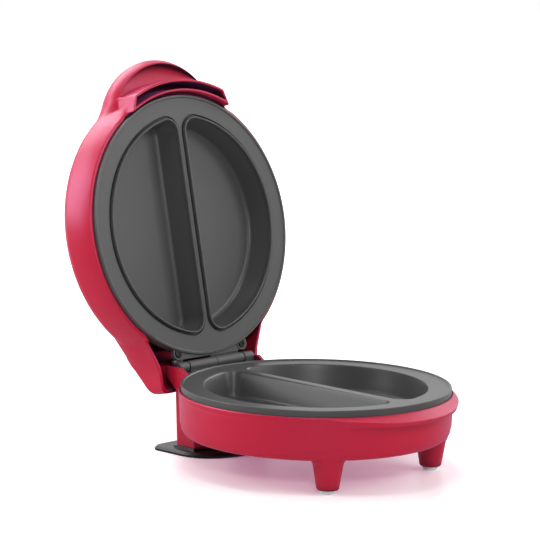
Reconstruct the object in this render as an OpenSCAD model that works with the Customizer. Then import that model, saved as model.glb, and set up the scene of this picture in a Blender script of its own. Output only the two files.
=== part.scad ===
// Electric omelette maker, shown open: a round base on a rear column and two front legs,
// with a hinged lid. Both halves carry a cast plate with two half-moon pockets.
// Millimetres, +Z up, +Y to the rear. The origin is the centre of the rear foot's underside.

/* [Cooking plates] */
// Diameter of both cooking plates
plate_d = 180; // [179:0.5:181]
// Height of the lower plate's lip above the table
plate_top = 56; // [55.6:0.1:56.4]
// Gap between the two lips with the lid closed
plate_gap = 2; // [1.8:0.1:2.4]
// Width of the raised lip round each plate
lip_w = 2; // [1.6:0.1:2.4]
// Height of the lip above the plate's face
lip_h = 0.9; // [0.6:0.1:1.1]
// Thickness of the castings
plate_wall = 2.5; // [2.2:0.1:2.8]
// Height of the skirt of each plate
skirt_h = 8.5; // [8:0.1:8.5]
// Radius of the curved side of a pocket
pocket_r = 75.3; // [74:0.1:76]
// Depth of a pocket below the lip
pocket_depth = 18; // [17:0.1:18.2]
// Half the width of the bridge between the two pockets
bridge_half = 3.4; // [3:0.1:4]
// Radius of a pocket's corners, seen from above
pocket_corner = 9; // [8.5:0.1:10]
// How far a pocket's wall leans in over its depth
pocket_draft = 2.4; // [1.8:0.1:2.8]
// Radius between a pocket's wall and its floor
pocket_fillet = 4.5; // [4:0.1:5]
// Width of the rounded bead round a pocket of the upper plate
bead_w = 2.6; // [2:0.1:3]
// Height of that bead above the plate's lip
bead_h = 0.9; // [0.6:0.1:1]

/* [Base] */
// Outer radius of the pan's rim
pan_r = 91.6; // [91.5:0.1:92]
// Height of the pan's rim above the table
pan_rim = 51.6; // [51.2:0.1:51.8]
// Height of the pan's flat underside
pan_floor = 22.3; // [22:0.1:22.6]
// Height of the crease where the wall turns under
pan_crease = 29.7; // [29:0.1:30.5]
// Wall thickness of the moulded housings
shell = 2.2; // [2:0.1:2.3]
// Radius of the front collar's outline
collar_r = 75.4; // [74.8:0.1:76]
// How far the collar stands out of the pan's rim at the front
collar_reach = 8.7; // [8:0.1:9]
// Height of the collar's underside
collar_under = 45.2; // [44.8:0.1:45.6]
// Half the distance between the front legs
leg_x = 50.3; // [49.5:0.1:51]
// Distance of the front legs in front of the plate's centre
leg_y = 58; // [57:0.1:59]
// Diameter of a leg at its foot
leg_d = 14.6; // [14:0.1:15]
// Diameter of a leg below the pan
leg_top_d = 22.6; // [22:0.1:23]
// Diameter of a rubber pad
pad_d = 10.2; // [9.6:0.1:11]
// Height of a rubber pad
pad_h = 2.4; // [2.2:0.1:2.8]

/* [Column and foot] */
// Half width of the column at the table
column_half = 36; // [35.8:0.1:36.2]
// Half width of the column's cheeks at the top
cheek_half = 38.6; // [38:0.1:39]
// Distance of the column's rear face behind the plate's centre
column_rear = 95; // [94.4:0.1:95.2]
// Height where the column's rear face starts to lean back
lean_start = 43; // [42:0.1:43.5]
// Height of the column's cheeks
cheek_top = 58; // [57.6:0.1:58.4]
// Distance of the cheeks' rear tips behind the plate's centre
cheek_rear = 105; // [104:0.1:105.5]
// Half width of the foot
foot_half = 45; // [44.4:0.1:45.6]
// Front edge of the foot, behind the plate's centre
foot_front = 52; // [51:0.1:53]
// Rear edge of the foot, behind the plate's centre
foot_rear = 111; // [110:0.1:112]
// Thickness of the foot
foot_h = 3; // [2.8:0.1:3.3]
// Height of the step on which the column stands
step_h = 1.2; // [1:0.1:1.4]

/* [Hinge] */
// Distance of the hinge axis behind the plate's centre
hinge_y = 96; // [95.8:0.1:96.2]
// Radius of the hinge barrel
barrel_r = 3.8; // [3.6:0.1:3.9]
// Length of each half of the barrel
knuckle_w = 26; // [25.5:0.1:26.2]
// Half the length over the outer ears
ear_half = 35.4; // [35.2:0.1:35.5]
// Diameter of the hinge pin
pin_d = 3; // [2.8:0.1:3.2]
// Angle to which the lid stands open
open_angle = 102; // [96:1:102]

/* [Lid] */
// Outer radius of the lid at its rim
lid_rim_r = 92.8; // [92.6:0.1:93.2]
// Outer radius of the lid where it is widest
lid_r = 95.8; // [95.4:0.1:96.2]
// Height of the lid above the table when it is closed
lid_top = 89; // [88.8:0.1:89.6]
// Radius of the lid's upper edge
lid_round = 9; // [8.5:0.1:9.5]
// Half width of the hinge cover at the rear
cover_half = 47.8; // [47.4:0.1:48.4]
// Distance of the hinge cover's rear wall behind the plate's centre
cover_rear = 112; // [111.8:0.1:112.6]
// Diameter of an indicator lens
lens_d = 7; // [6:0.1:7.6]

/* [Handle] */
// Reach of the handle in front of the plate's centre
handle_reach = 117.2; // [116.6:0.1:118]
// Radius of the handle's crown
crown_r = 51.8; // [51:0.1:52.6]
// Half width of the handle
handle_half = 46; // [45.5:0.1:46.5]
// Radius of the handle's corners
handle_corner = 11; // [10.5:0.1:11.5]
// Radius where the handle flows into the lid
handle_blend = 38; // [36:0.5:40]
// Height of the handle's underside when the lid is closed
handle_under = 70; // [69.6:0.1:70.4]
// Outer radius of the hollow finger guard
guard_r = 100.2; // [99.8:0.1:100.6]
// Height of the finger guard's tip when the lid is closed
guard_tip = 54; // [53.6:0.1:54.6]
// Wall thickness of the finger guard
guard_wall = 1.4; // [1.2:0.1:1.6]

/* [Heating] */
// Radius of the heating elements' rings
element_r = 46; // [45:0.5:47]
// Width of a heating element
element_w = 6.4; // [6:0.1:6.8]
// Height of a heating element
element_h = 4.6; // [4.2:0.1:4.8]
// Thickness of the sheet-metal shields
sheet = 0.8; // [0.6:0.1:0.9]

/* [Hidden] */
$fn = 96;

crimson = [0.72, 0.17, 0.30];
charcoal = [0.22, 0.22, 0.23];
black = [0.06, 0.06, 0.07];
steel = [0.72, 0.72, 0.74];

eps = 0.02;
cut = 20;
seat_gap = 0.3;
running_gap = 0.05;
plate_r = plate_d / 2;
face_z = plate_top - lip_h;
closed_lip = plate_top + plate_gap;
hinge_z = plate_top + plate_gap / 2;
ledge_z = plate_top - skirt_h;
floor_z = plate_top - pocket_depth;
plate_under = floor_z - plate_wall;
origin_y = (foot_front + foot_rear) / 2;
column_foot = foot_h + step_h;
lid_rim = closed_lip + 2.8;
cover_rim = closed_lip + 4.3;
lid_ledge = closed_lip + skirt_h;
lid_inner_top = lid_top - shell;
lid_back = closed_lip + pocket_depth + plate_wall;
cheek_inner = ear_half + 0.6;

// Places the base's pieces, drawn round the plate's centre
module in_base() {
    translate([0, -origin_y, 0]) children();
}

// Swings the lid's pieces, drawn as if closed, to where they stand open
module in_lid() {
    in_base() translate([0, hinge_y, hinge_z]) rotate([-open_angle, 0, 0])
        translate([0, -hinge_y, -hinge_z]) children();
}

// A round bar along X, centred on the hinge axis
module axle(x_from, x_to, r) {
    translate([x_from, hinge_y, hinge_z]) rotate([0, 90, 0]) cylinder(h = x_to - x_from, r = r);
}

// A side profile in Y and Z, drawn across the width from x_from to x_to
module across(x_from, x_to) {
    translate([x_from, 0, 0]) rotate([90, 0, 90]) linear_extrude(x_to - x_from) children();
}

module both_sides() {
    children();
    mirror([1, 0, 0]) children();
}

// A cross-head screw with its head's underside at z = 0 and its shank pointing up
module screw(head_r, head_h, shank_r, length) {
    difference() {
        union() {
            translate([0, 0, -head_h]) cylinder(h = head_h * 0.4, r1 = head_r * 0.8, r2 = head_r);
            translate([0, 0, -head_h * 0.6]) cylinder(h = head_h * 0.6, r = head_r);
            cylinder(h = length, r = shank_r);
        }
        for (turn = [0, 90])
            translate([0, 0, -head_h]) rotate([0, 0, turn])
                cube([head_r * 1.2, head_r * 0.3, head_h], center = true);
    }
}

// Outline of a half-moon pocket, moved inwards by inset
function half_moon(inset, steps = 30, corner_steps = 7) =
    let (
        cx = bridge_half + pocket_corner,
        cy = sqrt(pow(pocket_r - pocket_corner, 2) - cx * cx),
        a = atan2(cy, cx),
        r = pocket_r - inset,
        rc = pocket_corner - inset
    )
    concat(
        [for (i = [0:steps]) let (t = -a + 2 * a * i / steps) [r * cos(t), r * sin(t)]],
        [for (i = [1:corner_steps]) let (t = a + (180 - a) * i / corner_steps)
            [cx + rc * cos(t), cy + rc * sin(t)]],
        [for (i = [0:corner_steps - 1]) let (t = 180 + (180 - a) * i / corner_steps)
            [cx + rc * cos(t), -cy + rc * sin(t)]]
    );

// The space of a pocket, grown outwards by wall, with the plate's face up
module pocket_body(top_z, bottom_z, wall) {
    turn_z = bottom_z + pocket_fillet;
    r = pocket_fillet + wall;
    hull() {
        translate([0, 0, top_z]) linear_extrude(eps) polygon(half_moon(-wall));
        for (t = [0:22.5:90])
            translate([0, 0, turn_z - r * sin(t)]) linear_extrude(eps)
                polygon(half_moon(pocket_draft + pocket_fillet - r * cos(t)));
    }
}

// A flared ring of the pocket's outline between two heights
module pocket_flare(low_z, low_inset, high_z, high_inset) {
    hull() {
        translate([0, 0, low_z]) linear_extrude(eps) polygon(half_moon(low_inset));
        translate([0, 0, high_z - eps]) linear_extrude(eps) polygon(half_moon(high_inset));
    }
}

// A plate casting with its face up and its lip's top at z = 0
module plate_casting(beads) {
    face = -lip_h;
    floor_z = -pocket_depth;
    break_edge = 0.9;
    difference() {
        union() {
            rotate_extrude() polygon([
                [0, face], [plate_r - lip_w - 0.4, face], [plate_r - lip_w, -0.2],
                [plate_r - lip_w + 0.3, 0], [plate_r - 0.7, 0], [plate_r, -0.7],
                [plate_r, -skirt_h], [plate_r - shell, -skirt_h],
                [plate_r - shell, face - plate_wall], [0, face - plate_wall]
            ]);
            both_sides() pocket_body(face - plate_wall, floor_z, plate_wall);
            if (beads)
                both_sides() pocket_flare(face - eps, -bead_w, bead_h, -bead_w * 0.45);
            children();
        }
        both_sides() pocket_body(beads ? bead_h + eps : face + eps, floor_z, 0);
        if (!beads)
            both_sides() pocket_flare(face - break_edge, 0, face + eps, -break_edge);
    }
}

// BASE

pan_wall_r = pan_r - 0.3;
pan_low_r = pan_wall_r - 1;

module pan_outside() {
    rotate_extrude() polygon([
        [0, pan_floor], [pan_low_r - 7.5, pan_floor], [pan_low_r - 3.8, pan_floor + 0.6],
        [pan_low_r - 1.9, pan_floor + 1.9], [pan_low_r - 0.8, pan_floor + 4],
        [pan_low_r - 0.35, pan_crease], [pan_low_r, pan_crease + 0.3],
        [pan_wall_r, pan_rim - 1.6], [pan_r, pan_rim - 0.9], [pan_r - 0.2, pan_rim - 0.2],
        [pan_r - 0.5, pan_rim], [0, pan_rim]
    ]);
}

module pan_inside() {
    rotate_extrude() polygon([
        [0, pan_floor + shell], [pan_low_r - 7, pan_floor + shell],
        [pan_low_r - 3.4, pan_floor + shell + 1.8], [pan_low_r - shell - 0.4, pan_crease],
        [plate_r - 1.3, ledge_z], [plate_r + seat_gap + 0.3, ledge_z],
        [plate_r + seat_gap + 0.3, pan_rim + cut], [0, pan_rim + cut]
    ]);
}

// The collar that stands out of the rim at the front, with a sloping top
module collar() {
    slope = 2;
    drop = pan_rim - 0.1 - collar_under;
    intersection() {
        rotate_extrude() polygon([
            [pan_r - 4, collar_under - 5], [pan_wall_r - 0.5, collar_under - 5],
            [pan_wall_r + 0.2, collar_under - 2.5], [pan_wall_r + 2.2, collar_under], [pan_wall_r + slope * drop, collar_under],
            [pan_wall_r, pan_rim - 0.1], [pan_r - 4, pan_rim - 0.1]
        ]);
        translate([0, collar_r - pan_r - collar_reach, collar_under - 5])
            cylinder(h = 20, r1 = collar_r - 2.6, r2 = collar_r + 3.4, $fn = 144);
    }
}

column_bow = 60;
column_bow_y = 126;

// The column's body, drawn inwards by inset
module column_body(inset) {
    intersection() {
        translate([0, column_bow_y, 0]) cylinder(h = lid_top, r = column_bow - inset, $fn = 144);
        across(-cut * 2, cut * 2) polygon([
            [column_bow, column_foot], [column_rear - inset, column_foot],
            [column_rear - inset, lean_start], [cheek_rear - 2 - inset, lean_start + 7.5],
            [cheek_rear - inset, cheek_top - 0.7],
            [cheek_rear - 0.7 - inset, cheek_top], [hinge_y - 6.5, cheek_top],
            [hinge_y - 12.3, cheek_top - 4], [column_bow, cheek_top - 4]
        ]);
        translate([0, column_bow, 0]) rotate([90, 0, 0])
            translate([0, 0, -cheek_rear]) linear_extrude(cheek_rear) polygon([
                [-column_half + inset, 0], [column_half - inset, 0],
                [cheek_half - inset, cheek_top], [cheek_half - inset, lid_top],
                [-cheek_half + inset, lid_top], [-cheek_half + inset, cheek_top]
            ]);
    }
}

trough_floor = 43;
post_y = 58;
post_r = 4.5;
post_top = 40;
leg_top = pan_floor + 3;

module leg_outside() {
    rotate_extrude() polygon([
        [0, pad_h], [leg_d / 2 - 0.6, pad_h], [leg_d / 2, pad_h + 0.8],
        [leg_top_d / 2 - 1.2, pan_floor - 3], [leg_top_d / 2, pan_floor - 0.6],
        [leg_top_d / 2 + 0.6, leg_top], [0, leg_top]
    ]);
}

screw_spots = [[-25, 89.5], [25, 89.5], [0, 71.5]];

module base_housing() {
    color(crimson) in_base() difference() {
        union() {
            difference() {
                union() {
                    pan_outside();
                    collar();
                    column_body(0);
                    both_sides() translate([leg_x, -leg_y, 0]) leg_outside();
                }
                pan_inside();
                intersection() {
                    column_body(shell);
                    translate([0, 0, -cut]) cylinder(h = trough_floor + cut, r = 2 * plate_r);
                }
                translate([-cheek_inner, plate_r - 10, trough_floor + shell])
                    cube([2 * cheek_inner, 2 * cut, cut]);
                both_sides() translate([leg_x, -leg_y, pad_h + 5])
                    cylinder(h = pan_floor - pad_h, r1 = 3.6, r2 = leg_top_d / 2 - 3);
            }
            for (y = [-post_y, post_y])
                translate([0, y, pan_floor]) cylinder(h = post_top - pan_floor, r = post_r);
            difference() {
                translate([0, 0, pan_floor]) cylinder(h = shell + 2.4, r = element_r + 16);
                translate([0, 0, pan_floor - cut]) cylinder(h = 2 * cut, r = element_r + 14);
                column_body(0);
            }
            for (spot = screw_spots)
                translate([spot[0], spot[1], column_foot]) cylinder(h = 12, r = 4);
        }
        for (y = [-post_y, post_y]) translate([0, y, pan_floor - eps]) {
            cylinder(h = post_top - pan_floor + 1, r = 1.7);
            cylinder(h = 13, r = 3.3);
        }
        for (spot = screw_spots)
            translate([spot[0], spot[1], column_foot - eps]) cylinder(h = 9, r = 1.5);
        both_sides() translate([leg_x, -leg_y, pad_h - eps]) cylinder(h = 3, r = 3);
        translate([-gland_half, column_rear - shell - 1, 0])
            cube([2 * gland_half, shell + 2, gland_z + gland_half]);
    }
}

module front_foot_pads() {
    color([0.86, 0.90, 0.86]) in_base() both_sides() translate([leg_x, -leg_y, 0]) {
        cylinder(h = pad_h, r = pad_d / 2);
        cylinder(h = pad_h + 2.8, r = 3);
    }
}

// Outline of the foot, with a full round front and a square rear
module foot_outline(inset) {
    middle = foot_front + 31;
    power = 2.3;
    reach = middle - foot_front - inset;
    half = foot_half - inset;
    corner = 5.5 - inset / 2;
    polygon(concat(
        [for (i = [-18:18]) let (t = i * 5, s = sin(t), c = cos(t))
            [sign(s) * half * pow(abs(s), 2 / power), middle - reach * pow(c, 2 / power)]],
        [for (t = [0:15:90])
            [half - corner + corner * cos(t), foot_rear - inset - corner + corner * sin(t)]],
        [for (t = [90:15:180])
            [-half + corner + corner * cos(t), foot_rear - inset - corner + corner * sin(t)]]
    ));
}

module rear_foot() {
    color(black) in_base() difference() {
        union() {
            hull() {
                linear_extrude(1.4) foot_outline(0);
                translate([0, 0, foot_h - 0.2]) linear_extrude(0.2) foot_outline(1.4);
            }
            translate([0, 0, foot_h]) linear_extrude(step_h) step_outline(-1.6);
            difference() {
                translate([0, 0, column_foot]) linear_extrude(2.6) step_outline(shell + 0.4);
                translate([0, 0, column_foot]) linear_extrude(cut) step_outline(shell + 2.4);
                translate([-gland_half - 2.5, plate_r, column_foot])
                    cube([2 * gland_half + 5, cut, cut]);
                for (spot = screw_spots)
                    translate([spot[0], spot[1], column_foot]) cylinder(h = cut, r = 4.8);
            }
        }
        for (spot = screw_spots) translate([spot[0], spot[1], -eps]) {
            cylinder(h = cut, r = 1.7);
            cylinder(h = 2.4, r = 3.2);
        }
    }
}

// Plan of the column where it stands on the foot, drawn inwards by inset
module step_outline(inset) {
    intersection() {
        translate([0, column_bow_y]) circle(r = column_bow - inset, $fn = 144);
        translate([-column_half + inset, plate_r / 2])
            square([2 * (column_half - inset), column_rear - inset - plate_r / 2]);
    }
}

module rear_foot_screws() {
    color(steel) in_base() for (spot = screw_spots)
        translate([spot[0], spot[1], 2.4 - eps]) screw(3, 2, 1.48, 8.6);
}

tab_half = 33.5;
tab_edge = hinge_y - barrel_r - 0.6;
washer_w = 1;

module lower_cooking_plate() {
    tab_top = plate_top - 1.8;
    tab_under = tab_top - 3.8;
    color(charcoal) in_base() difference() {
        union() {
            translate([0, 0, plate_top]) plate_casting(false) {
                for (y = [-post_y, post_y]) translate([0, y, post_top - plate_top])
                    cylinder(h = face_z - post_top - 1, r = 4.2);
            }
            across(-ear_half, ear_half) polygon([
                [plate_r - 10, tab_under], [tab_edge, tab_under], [tab_edge, tab_top],
                [plate_r - 10, tab_top]
            ]);
            for (span = [[-knuckle_w, -0.15], [knuckle_w + washer_w, ear_half]]) {
                axle(span[0], span[1], barrel_r);
                across(span[0], span[1]) polygon([
                    [tab_edge - 2, tab_under], [tab_edge, tab_under],
                    [hinge_y, hinge_z - barrel_r], [hinge_y, hinge_z],
                    [hinge_y - barrel_r, hinge_z], [hinge_y - barrel_r, tab_top],
                    [tab_edge - 2, tab_top]
                ]);
            }
        }
        axle(-cut * 2, cut * 2, pin_d / 2 + running_gap);
        for (y = [-post_y, post_y])
            translate([0, y, post_top - eps]) cylinder(h = 9.5, r = 1.5);
    }
}

module lower_plate_screws() {
    color(steel) in_base() for (y = [-post_y, post_y])
        translate([0, y, pan_floor + 13 - eps]) screw(3, 2, 1.5, 12);
}

// A ring element whose flat side is on z = 0 and whose round side points down
module heating_element() {
    half = element_w / 2;
    gap_angle = 22;
    rotate([0, 0, 90 + gap_angle / 2]) rotate_extrude(angle = 360 - gap_angle) polygon(concat(
        [[element_r - half * 0.7, 0], [element_r + half * 0.7, 0]],
        [for (t = [0:-15:-180])
            [element_r + half * cos(t), -element_h * 0.35 + element_h * 0.65 * sin(t)]]
    ));
    both_sides() rotate([0, 0, 90 - gap_angle / 2]) translate([element_r, 0, -element_h / 2]) {
        rotate([-90, 0, 0]) cylinder(h = 2.6, r = element_h * 0.42);
        rotate([0, 90, gap_angle / 2]) cylinder(h = 9, r = 1.3);
    }
}

// Four sheet-metal straps that hold a ring element against z = 0
module element_clamps() {
    strap = 7;
    span = element_w + 5;
    foot = 4;
    for (a = [35, 145, 215, 325]) rotate([0, 0, a]) translate([element_r, 0, 0]) {
        difference() {
            translate([-span / 2, -strap / 2, -element_h - sheet])
                cube([span, strap, element_h + sheet]);
            translate([-span / 2 + sheet, -strap, -element_h])
                cube([span - 2 * sheet, 2 * strap, cut]);
        }
        for (x = [-span / 2 - foot, span / 2 - eps])
            translate([x, -strap / 2, -sheet]) cube([foot + eps, strap, sheet]);
    }
}

module lower_heating_element() {
    color(steel) in_base() translate([0, 0, plate_under]) heating_element();
}

module lower_element_clamps() {
    color(steel) in_base() translate([0, 0, plate_under]) element_clamps();
}

shield_r = 66;

module lower_heat_shield() {
    z = pan_floor + shell + 2.4;
    color(steel) in_base() difference() {
        union() {
            translate([0, 0, z]) cylinder(h = sheet, r = shield_r);
            difference() {
                translate([0, 0, z]) cylinder(h = 4, r = shield_r);
                translate([0, 0, z - eps]) cylinder(h = cut, r = shield_r - sheet);
            }
        }
        for (y = [-post_y, post_y]) translate([0, y, z - cut]) cylinder(h = 2 * cut, r = 5);
        translate([0, column_bow_y, z - cut]) cylinder(h = 2 * cut, r = column_bow + 1);
    }
}

sensor_x = 26;

module thermostat() {
    color([0.80, 0.78, 0.72]) in_base() translate([sensor_x, 0, plate_under]) {
        translate([0, 0, -5]) cylinder(h = 5, r = 7.5);
        translate([-11, -3, -0.8]) cube([22, 6, 0.8]);
        for (y = [-4, 4]) translate([-2.5, y - 0.4, -7]) cube([5, 0.8, 2 + eps]);
    }
}

module thermal_fuse() {
    color([0.85, 0.84, 0.78]) in_base() translate([-sensor_x, 0, plate_under]) {
        translate([0, -9, -2.2]) rotate([-90, 0, 0]) cylinder(h = 18, r = 1.9);
        translate([-3.5, -4, -3]) cube([7, 8, 3]);
    }
}

gland_half = 5.5;
gland_z = column_foot + gland_half;
block_z = column_foot;

module terminal_block() {
    color([0.90, 0.89, 0.84]) in_base() difference() {
        translate([-12, 78, block_z]) cube([24, 10, 9]);
        for (x = [-7, 0, 7]) {
            translate([x, 83, block_z + 3]) cylinder(h = cut, r = 1.6);
            translate([x, 76, block_z + 4]) rotate([-90, 0, 0]) cylinder(h = cut, r = 1.2);
        }
    }
}

// A square gland whose groove slides over the edges of the slot in the column
module cord_gland() {
    wall = shell + 0.1;
    flange = gland_half + 1.8;
    color(black) in_base() translate([0, column_rear, gland_z]) difference() {
        union() {
            translate([-gland_half + 0.01, -wall - 2, -gland_half])
                cube([2 * gland_half - 0.02, wall + 4.2, 2 * gland_half - 0.01]);
            for (y = [-wall - 2, 0]) translate([-flange, y, -gland_half])
                cube([2 * flange, 2, 2 * gland_half + 1.8]);
        }
        rotate([-90, 0, 0]) translate([0, 0, -cut]) cylinder(h = 2 * cut, r = 3.4);
    }
}

module hinge_pin() {
    color(steel) in_base() axle(-ear_half - 0.4, ear_half + 0.4, pin_d / 2);
}

module hinge_washers() {
    color(black) in_base() difference() {
        for (x = [-knuckle_w - washer_w + 0.05, knuckle_w + 0.05])
            axle(x, x + washer_w - 0.1, barrel_r - 0.7);
        axle(-cut * 2, cut * 2, pin_d / 2 + 0.03);
    }
}

// LID, drawn closed

module lid_round_shell() {
    rotate_extrude() polygon(concat(
        [[0, lid_rim], [lid_rim_r - 0.5, lid_rim], [lid_rim_r, lid_rim + 0.5],
            [lid_rim_r + (lid_r - lid_rim_r) * 0.7, lid_rim + 8.5]],
        [for (t = [0:10:90])
            [lid_r - lid_round + lid_round * cos(t), lid_top - lid_round + lid_round * sin(t)]],
        [[0, lid_top]]
    ), $fn = 144);
}

module lid_round_cavity() {
    inner = lid_r - shell;
    rotate_extrude() polygon([
        [0, lid_rim - cut], [plate_r + seat_gap, lid_rim - cut],
        [plate_r + seat_gap, lid_ledge], [plate_r - 1.7, lid_ledge],
        [plate_r - 1.7, lid_ledge + 2], [inner - 1.4, lid_ledge + 4.6],
        [inner, lid_top - lid_round - 1], [inner - 1.2, lid_top - 5.6],
        [inner - 6.6, lid_inner_top], [0, lid_inner_top]
    ]);
}

// A solid through a stack of equal outlines: each ring is [height, points]
module stack(rings) {
    n = len(rings[0][1]);
    last = len(rings) - 1;
    points = [for (ring = rings) for (p = ring[1]) [p[0], p[1], ring[0]]];
    sides = [for (k = [0:last - 1]) for (i = [0:n - 1]) let (j = (i + 1) % n, a = k * n, b = a + n)
        each [[a + i, b + i, a + j], [b + i, b + j, a + j]]];
    bottom = [[for (i = [0:n - 1]) i]];
    top = [[for (i = [n - 1:-1:0]) last * n + i]];
    polyhedron(points = points, faces = concat(bottom, sides, top));
}

// What lies between two heights
module slice(low, high) {
    difference() {
        children();
        for (z = [low - cut, high])
            translate([-2 * plate_r, -2 * plate_r, z]) cube([4 * plate_r, 4 * plate_r, cut]);
    }
}

// Half width of the hinge cover at a distance behind the plate's centre
function cover_width(y, flare) = cover_half + flare / 2 * (94 - y + norm([94 - y, 2]));

// Outline of the hinge cover, moved inwards by inset, ending at rear
function cover_outline(inset, rear, flare, front = 58, corner = 4.4, steps = 9) =
    let (
        half = [
            for (i = [0:steps]) let (y = front + (rear - corner - front) * i / steps)
                [cover_width(y, flare) - inset, y],
            for (t = [18:18:90]) let (w = cover_width(rear - corner, flare) - inset)
                [w - corner + corner * cos(t), rear - corner + corner * sin(t)]
        ]
    )
    concat(half, [for (i = [len(half) - 1:-1:0]) [-half[i][0], half[i][1]]]);

// Height, inset of the sides, rear end and sideways flare of each ring of the hinge cover
cover_rings = [
    [cover_rim - 1, 0.6, cover_rear, 0.47], [lid_top - 18, 0.4, cover_rear, 0.53],
    [lid_top - 15, 0.3, cover_rear - 0.4, 0.56], [lid_top - 12.6, 0.2, cover_rear - 1.8, 0.58],
    [lid_top - 10.5, 0.1, cover_rear - 4.4, 0.59], [lid_top - 7, 0, cover_rear - 9.6, 0.6],
    [lid_top - 3.4, 0.3, cover_rear - 16.6, 0.61], [lid_top - 2, 0.9, cover_rear - 20, 0.61],
    [lid_top - 0.4, 2.6, cover_rear - 26.5, 0.61]
];

module cover_solid(wall) {
    slice(cover_rim - wall, lid_top - 1 - wall)
        stack([for (ring = cover_rings)
            [ring[0] - wall, cover_outline(ring[1] + wall, ring[2] - wall, ring[3])]]);
}

crown_y = crown_r - handle_reach;
corner_x = handle_half - handle_corner;
corner_y = crown_y - sqrt(pow(crown_r - handle_corner, 2) - corner_x * corner_x);
blend_sink = 0.6;

// Outline of the handle, moved inwards by inset: crown, corner and hollow blend
function handle_outline(inset) =
    let (
        corner_d = norm([corner_x, corner_y]),
        blend_d = lid_r + handle_blend - blend_sink,
        arm = handle_corner + handle_blend,
        swing = acos((corner_d * corner_d + blend_d * blend_d - arm * arm) / (2 * corner_d * blend_d)),
        at = atan2(corner_y, corner_x) + swing,
        bx = blend_d * cos(at),
        by = blend_d * sin(at),
        crown_end = atan2(corner_y - crown_y, corner_x),
        corner_end = atan2(by - corner_y, bx - corner_x),
        blend_from = corner_end + 180,
        blend_to = at + 180 - 6,
        half = [
            for (i = [0:14]) let (t = -90 + (crown_end + 90) * i / 14)
                [(crown_r - inset) * cos(t), crown_y + (crown_r - inset) * sin(t)],
            for (i = [1:8]) let (t = crown_end + (corner_end - crown_end) * i / 8)
                [corner_x + (handle_corner - inset) * cos(t), corner_y + (handle_corner - inset) * sin(t)],
            for (i = [1:10]) let (t = blend_from + (blend_to - blend_from) * i / 10)
                [bx + (handle_blend + inset) * cos(t), by + (handle_blend + inset) * sin(t)]
        ]
    )
    concat(half, [for (i = [len(half) - 1:-1:1]) [-half[i][0], half[i][1]]]);

// Height above the handle's underside and inset of each ring of the handle
handle_rings = [
    [-2, 6], [-0.3, 4], [0.8, 2.9], [2, 2.1], [3.6, 1.2], [5.6, 0.4], [8, 0], [11, 0.2],
    [13.4, 0.7], [15.4, 1.4], [17, 2.3], [18.2, 3.5], [19.2, 5.2]
];
handle_h = lid_top - 0.3 - handle_under;

module handle_solid() {
    slice(handle_under, handle_under + handle_h)
        stack([for (ring = handle_rings) [handle_under + ring[0], handle_outline(ring[1])]]);
}

// The crescent hollow for the fingertips in the handle's underside
module finger_scoop() {
    rim_y = handle_reach - 3.6;
    r = crown_r - 1.4;
    difference() {
        intersection() {
            translate([0, r - rim_y, 0]) cylinder(h = lid_top, r = r, $fn = 144);
            across(-2 * cut - 10, 2 * cut + 10) polygon([
                [-90, 0], [-rim_y - 5, 0], [-rim_y - 5, handle_under + 8.5],
                [-guard_r - 1, handle_under + 2], [-90, handle_under + 1]
            ]);
        }
        cylinder(h = lid_top, r = guard_r - eps, $fn = 144);
    }
}

// The hollow guard between the handle and the hot plate, grown inwards by inset
module guard_solid(inset, low, high) {
    intersection() {
        difference() {
            translate([0, 0, low]) cylinder(h = high - low, r = guard_r - inset, $fn = 144);
            translate([0, 0, low - 1]) cylinder(h = high - low + 2, r = lid_rim_r - 0.5 + inset, $fn = 144);
        }
        translate([0, 0, low]) linear_extrude(high - low) polygon([
            [-52.7 + inset, -60], [-31.8 + inset, -120], [31.8 - inset, -120], [52.7 - inset, -60]
        ]);
    }
}

tab_screw_x = 30.5;
tab_screw_y = 86.3;
tab_face = closed_lip + 1.4;
tab_back = tab_face + 2.6;
lens_x = 9;
lens_y = lid_round + 6.8 - lid_r;

module lid_housing() {
    color(crimson) in_lid() difference() {
        union() {
            difference() {
                union() {
                    lid_round_shell();
                    cover_solid(0);
                    difference() {
                        handle_solid();
                        finger_scoop();
                    }
                }
                lid_round_cavity();
                cover_solid(shell);
                translate([-ear_half - 0.5, plate_r - 12, lid_rim - cut])
                    cube([2 * ear_half + 1, hinge_y - plate_r + 16, tab_back + 0.1 - lid_rim + cut]);
            }
            difference() {
                guard_solid(0, guard_tip, handle_under + 3);
                guard_solid(guard_wall, guard_tip - 1, handle_under + 1);
            }
            both_sides() difference() {
                translate([tab_screw_x, tab_screw_y, tab_back]) cylinder(h = lid_top - 5 - tab_back, r = 4);
                cylinder(h = closed_lip + skirt_h + 0.3, r = plate_r + 0.15, $fn = 144);
            }
            for (a = [45:90:315]) rotate([0, 0, a]) translate([60, 0, lid_inner_top - 1.4])
                cylinder(h = 2, r = 3);
        }
        both_sides() translate([tab_screw_x, tab_screw_y, tab_back - eps]) cylinder(h = 11, r = 1.6);
        for (x = [-lens_x, lens_x])
            translate([x, lens_y, lid_top - 5]) cylinder(h = 10, r = lens_d / 2);
    }
}

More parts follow.
